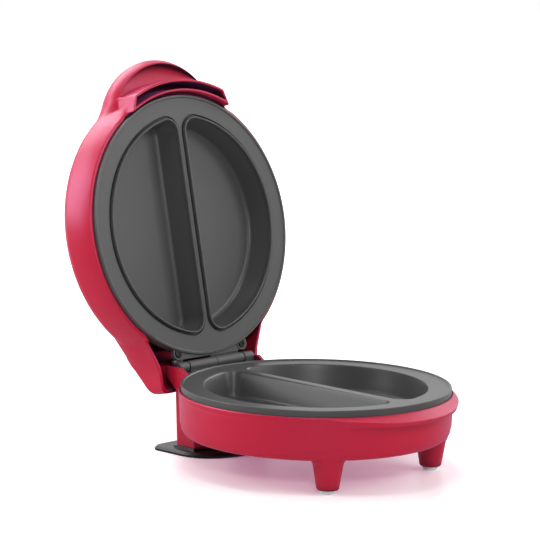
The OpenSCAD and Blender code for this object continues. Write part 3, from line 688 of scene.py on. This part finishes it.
def half_moon(inset, arc_steps=80, corner_steps=14):
    """Outline of the right pocket, moved inwards by inset"""
    plate = settings("omelette_plate")
    corner_x = plate.bridge + plate.pocket_corner
    corner_y = math.sqrt((plate.pocket_radius - plate.pocket_corner) ** 2 - corner_x ** 2)
    turn = math.atan2(corner_y, corner_x)
    r, rc = plate.pocket_radius - inset, plate.pocket_corner - inset
    points = []
    for i in range(arc_steps + 1):
        t = -turn + 2 * turn * i / arc_steps
        points.append((r * math.cos(t), r * math.sin(t)))
    for i in range(1, corner_steps + 1):
        t = turn + (math.pi - turn) * i / corner_steps
        points.append((corner_x + rc * math.cos(t), corner_y + rc * math.sin(t)))
    for i in range(corner_steps):
        t = math.pi + (math.pi - turn) * i / corner_steps
        points.append((corner_x + rc * math.cos(t), -corner_y + rc * math.sin(t)))
    return points


def pocket_profile(beaded):
    """Steps (inwards, height) from the plate's face over the edge and down to the floor"""
    plate = settings("omelette_plate")
    face, floor = -plate.face_drop, -plate.depth
    if beaded:
        top = plate.bead_height
        edge = [(-0.0031, face), (-0.0029, face - 0.0007), (-0.0025, face - 0.0011),
                (-0.0018, face - 0.0011), (-0.00155, face - 0.0006), (-0.0015, top - 0.0007),
                (-0.0013, top - 0.00028), (-0.0010, top - 0.00006), (-0.0007, top),
                (-0.0004, top - 0.00012), (-0.00015, top - 0.0004), (0, top - 0.0009)]
    else:
        edge = [(-0.0012, face), (-0.0007, face - 0.00015), (-0.0003, face - 0.0005),
                (0, face - 0.0011)]
    turn = floor + plate.fillet
    edge_end = edge[-1][1]
    wall = [(plate.draft * k / 4, edge_end + (turn - edge_end) * k / 4) for k in range(1, 5)]
    fillet = [(plate.draft + plate.fillet * (1 - math.cos(t)), turn - plate.fillet * math.sin(t))
              for t in (math.radians(a) for a in range(15, 91, 15))]
    level = fillet[-1]
    return edge + wall + fillet + [(level[0] + 0.0004, level[1])]


def lathe(name, profile, sides=192):
    """An open ring, extruded and widened through (radius, height) steps"""
    begin()
    radius, height = profile[0]
    bpy.ops.mesh.primitive_circle_add(vertices=sides, radius=radius, location=(0, 0, height))
    piece = bpy.context.object
    piece.name = name
    settle(piece)
    bpy.ops.object.mode_set(mode="EDIT")
    bpy.ops.mesh.select_mode(type="EDGE")
    bpy.ops.mesh.select_all(action="SELECT")
    for next_radius, next_height in profile[1:]:
        bpy.ops.mesh.extrude_edges_move(
            TRANSFORM_OT_translate={"value": (0, 0, next_height - height)})
        bpy.ops.transform.resize(value=(next_radius / radius, next_radius / radius, 1),
                                 center_override=(0, 0, 0))
        radius, height = next_radius, next_height
    bpy.ops.object.mode_set(mode="OBJECT")
    return piece


def plate_shell(name, beaded):
    """The casting with its face up and its lip's top at height 0"""
    plate = settings("omelette_plate")
    profile = pocket_profile(beaded)
    pocket = outline_face(name + "_pocket", half_moon(profile[0][0]), profile[0][1])
    inset_steps(profile)
    twin = duplicate(pocket)
    twin.scale = (-1, 1, 1)
    settle(twin)
    r, face, skirt = plate.radius, -plate.face_drop, -plate.skirt
    rim = lathe(name, [
        (r - 0.0026, face), (r - 0.0022, face + 0.00012), (r - 0.00205, face + 0.0004),
        (r - 0.00195, -0.0002), (r - 0.0017, 0), (r - 0.0007, 0), (r - 0.00025, -0.00015),
        (r, -0.0007), (r, skirt + 0.0004), (r - 0.0003, skirt)])
    shell = join([rim, pocket, twin])
    bpy.ops.object.mode_set(mode="EDIT")
    select_edges(shell, lambda edge, middle: len(edge.link_faces) == 1
                 and abs(middle.z - face) < 2e-6 and middle.xy.length < r - 0.0024)
    bpy.ops.mesh.fill(use_beauty=True)
    weld()
    mesh = bmesh.from_edit_mesh(shell.data)
    mesh.normal_update()
    if sum(f.normal.z * f.calc_area() for f in mesh.faces) < 0:
        bpy.ops.mesh.flip_normals()
    bpy.ops.object.mode_set(mode="OBJECT")
    apply_modifier(shell, "SOLIDIFY", thickness=plate.wall, offset=-1, use_even_offset=False)
    return shell


def extruded(name, points, length, turned=False):
    """An outline's solid: drawn in XY and raised, or turned so that it is drawn in YZ, along +X"""
    piece = outline_face(name, points)
    bpy.ops.mesh.extrude_region_move(TRANSFORM_OT_translate={"value": (0, 0, length)})
    bpy.ops.mesh.select_all(action="SELECT")
    bpy.ops.mesh.normals_make_consistent(inside=False)
    bpy.ops.object.mode_set(mode="OBJECT")
    if turned:
        settle(piece, Matrix(((0, 0, 1, 0), (1, 0, 0, 0), (0, 1, 0, 0), (0, 0, 0, 1))))
    return piece


def knuckle(name, left, right):
    """A bored barrel on the hinge axis, with rounded ends"""
    hinge = settings("omelette_hinge")
    bore, outer, length, edge = hinge.bore, hinge.barrel, right - left, 0.00035
    piece = lathe(name, [
        (bore, 0), (outer - edge, 0), (outer - 0.3 * edge, 0.3 * edge), (outer, edge),
        (outer, length - edge), (outer - 0.3 * edge, length - 0.3 * edge), (outer - edge, length),
        (bore, length), (bore, 0)], 56)
    bpy.ops.object.mode_set(mode="EDIT")
    weld()
    settle(piece, Matrix.Translation((left, hinge.axis_y, hinge.axis_z))
           @ Matrix.Rotation(math.pi / 2, 4, "Y"))
    return piece


def blend(piece, middle, reach, rounds):
    """Smooth the surface within reach of a place and of its mirror image"""
    middle = Vector(middle)

    def near(point):
        return (Vector((abs(point.x), point.y, point.z)) - middle).length < reach

    bpy.ops.object.mode_set(mode="EDIT")
    select_faces(piece, near)
    bpy.ops.mesh.subdivide(number_cuts=2)
    bpy.ops.mesh.select_mode(type="VERT")
    bpy.ops.mesh.select_all(action="DESELECT")
    mesh = bmesh.from_edit_mesh(piece.data)
    for vertex in mesh.verts:
        vertex.select = near(vertex.co)
    mesh.select_flush(True)
    bmesh.update_edit_mesh(piece.data)
    bpy.ops.mesh.vertices_smooth(factor=0.5, repeat=rounds)
    bpy.ops.object.mode_set(mode="OBJECT")


def soften(piece, width, segments=3):
    apply_modifier(piece, "BEVEL", width=width, segments=segments, limit_method="ANGLE",
                   angle_limit=math.radians(40), harden_normals=False)


def bearing(left, right, outline):
    """A knuckle, and the web that joins it to its plate"""
    barrel = knuckle("knuckle", left, right)
    web = extruded("web", outline, right - left, turned=True)
    settle(web, Matrix.Translation((left, 0, 0)))
    soften(web, 0.0002, 2)
    return [barrel, web]


class OMELETTE_OT_housings(bpy.types.Operator):
    """Smooth the flowing walls of the two crimson mouldings"""
    bl_idname = "omelette.housings"
    bl_label = "Housings"

    def execute(self, context):
        for node, body in (("base_housing", "base"), ("lid_housing", "lid")):
            housing = merged_copy(node, node.replace("housing", "moulding"))
            if body == "lid":
                blend(housing, *HANDLE_FOOT)
                blend(housing, *HANDLE_EDGE_END)
            smooth(housing, 50)
            finish_piece(housing, node, body, "crimson_moulding")
        return {"FINISHED"}


class OMELETTE_OT_lower_plate(bpy.types.Operator):
    """Model the lower cooking plate with its pockets, its tab and its knuckles"""
    bl_idname = "omelette.lower_plate"
    bl_label = "Lower plate"

    def execute(self, context):
        hinge = settings("omelette_hinge")
        shell = plate_shell("lower_plate_casting", False)
        settle(shell, Matrix.Translation((0, PLATE_Y, LOWER_LIP)))
        top, under, depth = LOWER_LIP - 0.0018, LOWER_LIP - 0.0056, 0.0075
        edge = hinge.axis_y - hinge.barrel - BARREL_GAP
        beam = extruded("tab", [(edge - depth, under), (edge, under), (edge, top),
                                (edge - depth, top)], 2 * hinge.ear, turned=True)
        settle(beam, Matrix.Translation((-hinge.ear, 0, 0)))
        soften(beam, 0.0004)
        parts = [shell, beam]
        y, z = hinge.axis_y, hinge.axis_z
        front = y - hinge.barrel + SUNK
        web = [(edge - 0.002, under), (edge, under), (y, z - hinge.barrel + 0.0001), (y, z),
               (front, z), (front, top), (edge - 0.002, top)]
        for left, right in ((-hinge.knuckle, -MIDDLE_GAP), (hinge.knuckle + OUTER_GAP, hinge.ear)):
            parts += bearing(left, right, web)
        plate = join(parts)
        plate.name = "lower_plate_casting"
        smooth(plate)
        finish_piece(plate, "lower_cooking_plate", "base", "nonstick_coating")
        return {"FINISHED"}


class OMELETTE_OT_upper_plate(bpy.types.Operator):
    """Model the lid's cooking plate with its beaded pockets, its tab and its knuckles"""
    bl_idname = "omelette.upper_plate"
    bl_label = "Upper plate"

    def execute(self, context):
        hinge = settings("omelette_hinge")
        shell = plate_shell("upper_plate_casting", True)
        flipped = Matrix.Translation((0, PLATE_Y, UPPER_LIP)) @ Matrix.Rotation(math.pi, 4, "Y")
        settle(shell, flipped)
        k, ear, y = hinge.knuckle, hinge.ear, hinge.axis_y
        inner, middle, outer = k - SLOT_GAP, 2 * SLOT_GAP, -k - (OUTER_GAP + SLOT_GAP)
        slot, back = y - KNUCKLE_STEP, y - TAB_DEPTH
        tab = extruded("tab", [
            (-TAB_HALF, back), (TAB_HALF, back), (TAB_HALF, slot), (inner, slot), (inner, y),
            (middle, y), (middle, slot), (outer, slot), (outer, y), (-ear, y), (-ear, y - EAR_STEP),
            (-TAB_HALF, y - EAR_STEP)], hinge.tab_back - hinge.tab_z)
        settle(tab, Matrix.Translation((0, 0, hinge.tab_z)))
        soften(tab, 0.0003)
        parts = [shell, tab]
        for side in (-1, 1):
            boss = lathe("boss", [
                (0.0033, 0.0022), (0.0033, 0.0002), (0.0034, -0.0004), (0.0037, -0.0006),
                (0.0044, -0.0006), (0.0047, -0.0004), (0.0048, 0), (0.0048, 0.0024),
                (0.0044, 0.0026), (0.0033, 0.0026)], 48)
            settle(boss, Matrix.Translation((side * hinge.screw_x, hinge.screw_y, hinge.tab_z)))
            parts.append(boss)
        edge = y - hinge.barrel - BARREL_GAP
        front = y - hinge.barrel + SUNK
        web = [(edge - 0.001, hinge.tab_z), (front, hinge.tab_z), (front, hinge.axis_z),
               (y, hinge.axis_z), (y + 0.0015, hinge.tab_back - 0.0018),
               (y - 0.001, hinge.tab_back), (edge - 0.001, hinge.tab_back)]
        for left, right in ((-ear, -k - OUTER_GAP), (MIDDLE_GAP, k)):
            parts += bearing(left, right, web)
        plate = join(parts)
        plate.name = "upper_plate_casting"
        settle(plate, opened())
        smooth(plate)
        finish_piece(plate, "upper_cooking_plate", "lid", "nonstick_coating")
        return {"FINISHED"}


class OMELETTE_OT_tab_screws(bpy.types.Operator):
    """Model the two cross-head screws in the lid plate's tab"""
    bl_idname = "omelette.tab_screws"
    bl_label = "Tab screws"

    def execute(self, context):
        hinge = settings("omelette_hinge")
        head_height, shank_length, shank_sunk = 0.0011, 0.0118, 0.0001
        blade_size = (0.0034, 0.00075, 0.0014)
        begin()
        bpy.ops.mesh.primitive_cylinder_add(vertices=40, radius=0.003, depth=head_height,
                                            end_fill_type="NGON",
                                            location=(0, 0, -head_height / 2))
        head = bpy.context.object
        head.name = "tab_screw"
        settle(head)
        bpy.ops.object.mode_set(mode="EDIT")
        select_edges(head, lambda edge, middle: middle.z < -0.9 * head_height)
        bpy.ops.mesh.bevel(offset=0.0006, segments=5)
        bpy.ops.object.mode_set(mode="OBJECT")
        for turn in (0, math.pi / 2):
            begin()
            bpy.ops.mesh.primitive_cube_add(size=1, location=(0, 0, -head_height),
                                            rotation=(0, 0, turn))
            blade = bpy.context.object
            blade.scale = blade_size
            settle(blade)
            apply_modifier(head, "BOOLEAN", object=blade, operation="DIFFERENCE", solver="EXACT")
            bpy.data.objects.remove(blade)
        begin()
        bpy.ops.mesh.primitive_cylinder_add(vertices=24, radius=0.00145, depth=shank_length,
                                            end_fill_type="NGON",
                                            location=(0, 0, shank_length / 2 - shank_sunk))
        shank = bpy.context.object
        settle(shank)
        soften(shank, 0.0003, 2)
        head = join([head, shank])
        twin = duplicate(head)
        settle(twin, Matrix.Translation((hinge.screw_x, hinge.screw_y, hinge.tab_z))
               @ Matrix.Rotation(0.5, 4, "Z"))
        settle(head, Matrix.Translation((-hinge.screw_x, hinge.screw_y, hinge.tab_z))
               @ Matrix.Rotation(-0.25, 4, "Z"))
        screws = join([head, twin])
        screws.name = "tab_screws"
        settle(screws, opened())
        smooth(screws, 30)
        finish_piece(screws, "upper_plate_screws", "lid", "blackened_steel")
        return {"FINISHED"}


class OMELETTE_OT_leg_pads(bpy.types.Operator):
    """Model the soft pads under the two front legs"""
    bl_idname = "omelette.leg_pads"
    bl_label = "Leg pads"

    def execute(self, context):
        pad = settings("omelette_pads")
        r, h = pad.radius, pad.height
        first = lathe("leg_pads", [
            (0.0004, 0.0003), (r - 0.0026, 0.0003), (r - 0.0019, 0.00005), (r - 0.0012, 0),
            (r - 0.0005, 0.0002), (r - 0.0001, 0.0007), (r, 0.0012), (r, h - 0.0003),
            (r - 0.0004, h), (0.003, h), (0.003, h + 0.0028), (0.0004, h + 0.0028)], 56)
        bpy.ops.object.mode_set(mode="EDIT")
        select_edges(first, lambda edge, middle: len(edge.link_faces) == 1)
        bpy.ops.mesh.fill_holes(sides=0)
        bpy.ops.mesh.select_all(action="SELECT")
        bpy.ops.mesh.normals_make_consistent(inside=False)
        second = duplicate(first)
        settle(first, Matrix.Translation((-pad.place_x, pad.place_y, 0)))
        settle(second, Matrix.Translation((pad.place_x, pad.place_y, 0)))
        pads = join([first, second])
        smooth(pads)
        finish_piece(pads, "front_foot_pads", "base", "pale_rubber")
        return {"FINISHED"}


# Studio

def place_camera():
    studio = settings("omelette_studio")
    yaw, pitch, roll = studio.camera_yaw, studio.camera_pitch, studio.camera_roll
    ahead = Vector((-math.sin(yaw) * math.cos(pitch), math.cos(yaw) * math.cos(pitch),
                    -math.sin(pitch)))
    level = Vector((math.cos(yaw), math.sin(yaw), 0))
    upright = level.cross(ahead)
    right = level * math.cos(roll) + upright * math.sin(roll)
    up = upright * math.cos(roll) - level * math.sin(roll)
    lens = bpy.data.cameras.new("camera")
    lens.sensor_width = SENSOR_WIDTH
    lens.lens = lens.sensor_width * studio.focal_pixels / PICTURE_WIDTH
    lens.clip_end = 20
    camera = bpy.data.objects.new("camera", lens)
    bpy.context.scene.collection.objects.link(camera)
    axes = Matrix((right, up, -ahead)).transposed()
    camera.matrix_world = Matrix.Translation(studio.camera_place) @ axes.to_4x4()
    bpy.context.scene.camera = camera


def area_light(name, place, size, power):
    lamp = bpy.data.lights.new(name, "AREA")
    lamp.shape = "RECTANGLE"
    lamp.size, lamp.size_y = size
    lamp.energy = power
    light = bpy.data.objects.new(name, lamp)
    bpy.context.scene.collection.objects.link(light)
    light.location = place
    aim = Vector(LAMP_TARGET) - Vector(place)
    light.rotation_euler = aim.to_track_quat("-Z", "Y").to_euler()


def behind(nodes, links, vector, reach, front):
    """1 behind the object as the camera sees it, falling to front on the camera's side"""
    along = nodes.new("ShaderNodeVectorMath")
    along.operation = "DOT_PRODUCT"
    along.inputs[1].default_value = BEHIND
    links.new(vector, along.inputs[0])
    return ramp(nodes, links, along.outputs["Value"], smooth=True,
                From_Min=-0.5 * reach, From_Max=reach, To_Min=front, To_Max=1.0)


def light_paths(nodes, links):
    """1 for what the camera sees, also through a clear part, and 1 for what gloss mirrors"""
    path = nodes.new("ShaderNodeLightPath")
    seen = nodes.new("ShaderNodeMath")
    seen.operation = "MAXIMUM"
    links.new(path.outputs["Is Camera Ray"], seen.inputs[0])
    links.new(path.outputs["Is Transmission Ray"], seen.inputs[1])
    return seen.outputs[0], path.outputs["Is Glossy Ray"]


def studio_floor():
    """A white floor that glows to the camera and keeps the object's shadow, with a painted
    pink-purple shadow and reflection of the crimson base near the object
    """
    begin()
    bpy.ops.mesh.primitive_circle_add(vertices=96, radius=FLOOR_RADIUS, fill_type="NGON",
                                      location=(0, 0, -0.0002))
    floor = bpy.context.object
    floor.name = "floor"
    bpy.ops.object.mode_set(mode="EDIT")
    bpy.ops.mesh.select_all(action="SELECT")
    bpy.ops.mesh.inset(thickness=FLOOR_RADIUS / 2)
    bpy.ops.object.mode_set(mode="OBJECT")
    material, nodes, links, shader = new_material("white_sweep")
    set_inputs(shader, Base_Color=(0.9, 0.9, 0.9, 1), Roughness=0.35, Specular_IOR_Level=0.3)
    glow = nodes.new("ShaderNodeEmission")
    place = nodes.new("ShaderNodeTexCoord")
    away = nodes.new("ShaderNodeVectorMath")
    away.operation = "LENGTH"
    links.new(place.outputs["Object"], away.inputs[0])
    spread = ramp(nodes, links, away.outputs["Value"], smooth=True,
                  From_Min=0.25, From_Max=0.8, To_Min=FLOOR_GLOW, To_Max=1.0)
    links.new(spread, glow.inputs["Strength"])
    # Painted shadow and reflection: ambient occlusion tints the floor's glow pink-purple near the
    # object
    near = nodes.new("ShaderNodeAmbientOcclusion")
    near.inputs["Distance"].default_value = SHADOW_REACH
    tint = mix_colours(nodes, links, near.outputs["AO"], SHADOW_TINT, WHITE)
    links.new(tint, glow.inputs["Color"])
    added = nodes.new("ShaderNodeAddShader")
    links.new(shader.outputs[0], added.inputs[0])
    links.new(glow.outputs[0], added.inputs[1])
    mirrored = nodes.new("ShaderNodeEmission")
    gradient = behind(nodes, links, place.outputs["Object"], 0.5, FLOOR_FRONT)
    links.new(gradient, mirrored.inputs["Strength"])
    seen, glossy = light_paths(nodes, links)
    lit = mix_shaders(nodes, links, seen, shader, added)
    shown = mix_shaders(nodes, links, glossy, lit, mirrored)
    links.new(shown.outputs[0], nodes["Material Output"].inputs["Surface"])
    floor.data.materials.append(material)


def studio_world():
    """Soft ambient light, brighter behind the object where glossy surfaces mirror it"""
    world = bpy.data.worlds.new("studio")
    world.use_nodes = True
    nodes, links = world.node_tree.nodes, world.node_tree.links
    ambient = nodes["Background"]
    set_inputs(ambient, Color=WHITE, Strength=WORLD_AMBIENT)
    white = nodes.new("ShaderNodeBackground")
    set_inputs(white, Color=WHITE, Strength=1.0)
    mirrored = nodes.new("ShaderNodeBackground")
    set_inputs(mirrored, Color=WHITE)
    place = nodes.new("ShaderNodeTexCoord")
    gradient = behind(nodes, links, place.outputs["Generated"], 0.6, WORLD_FRONT)
    links.new(gradient, mirrored.inputs["Strength"])
    seen, glossy = light_paths(nodes, links)
    lit = mix_shaders(nodes, links, glossy, ambient, mirrored)
    shown = mix_shaders(nodes, links, seen, lit, white)
    links.new(shown.outputs[0], nodes["World Output"].inputs["Surface"])
    bpy.context.scene.world = world


class OMELETTE_OT_studio(bpy.types.Operator):
    """Set up the camera, the floor and the soft lights"""
    bl_idname = "omelette.studio"
    bl_label = "Studio"

    def execute(self, context):
        place_camera()
        studio_floor()
        studio_world()
        for lamp in LAMPS:
            area_light(*lamp)
        context.scene.view_settings.view_transform = "Standard"
        return {"FINISHED"}


class OMELETTE_PT_panel(bpy.types.Panel):
    """Lists the steps that dress the omelette maker"""
    bl_idname = "OMELETTE_PT_panel"
    bl_label = "Omelette Maker"
    bl_space_type = "VIEW_3D"
    bl_region_type = "UI"
    bl_category = "Omelette Maker"

    def draw(self, context):
        column = self.layout.column()
        for step in STEPS:
            column.operator(step.bl_idname)


STEPS = (
    OMELETTE_OT_studio, OMELETTE_OT_finishes, OMELETTE_OT_housings, OMELETTE_OT_lower_plate,
    OMELETTE_OT_upper_plate, OMELETTE_OT_tab_screws, OMELETTE_OT_leg_pads,
)
GROUPS = {
    "omelette_plastic": PlasticSettings,
    "omelette_metal": MetalSettings,
    "omelette_plate": PlateSettings,
    "omelette_hinge": HingeSettings,
    "omelette_pads": PadSettings,
    "omelette_studio": StudioSettings,
}


def register():
    for cls in (*GROUPS.values(), *STEPS, OMELETTE_PT_panel):
        bpy.utils.register_class(cls)
    for name, group in GROUPS.items():
        setattr(bpy.types.Scene, name, bpy.props.PointerProperty(type=group))


def unregister():
    for name in GROUPS:
        delattr(bpy.types.Scene, name)
    for cls in reversed((*GROUPS.values(), *STEPS, OMELETTE_PT_panel)):
        bpy.utils.unregister_class(cls)


def main():
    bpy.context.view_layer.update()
    register()
    for step in STEPS:
        group, name = step.bl_idname.split(".")
        getattr(getattr(bpy.ops, group), name)()


if __name__ == "__main__":
    main()
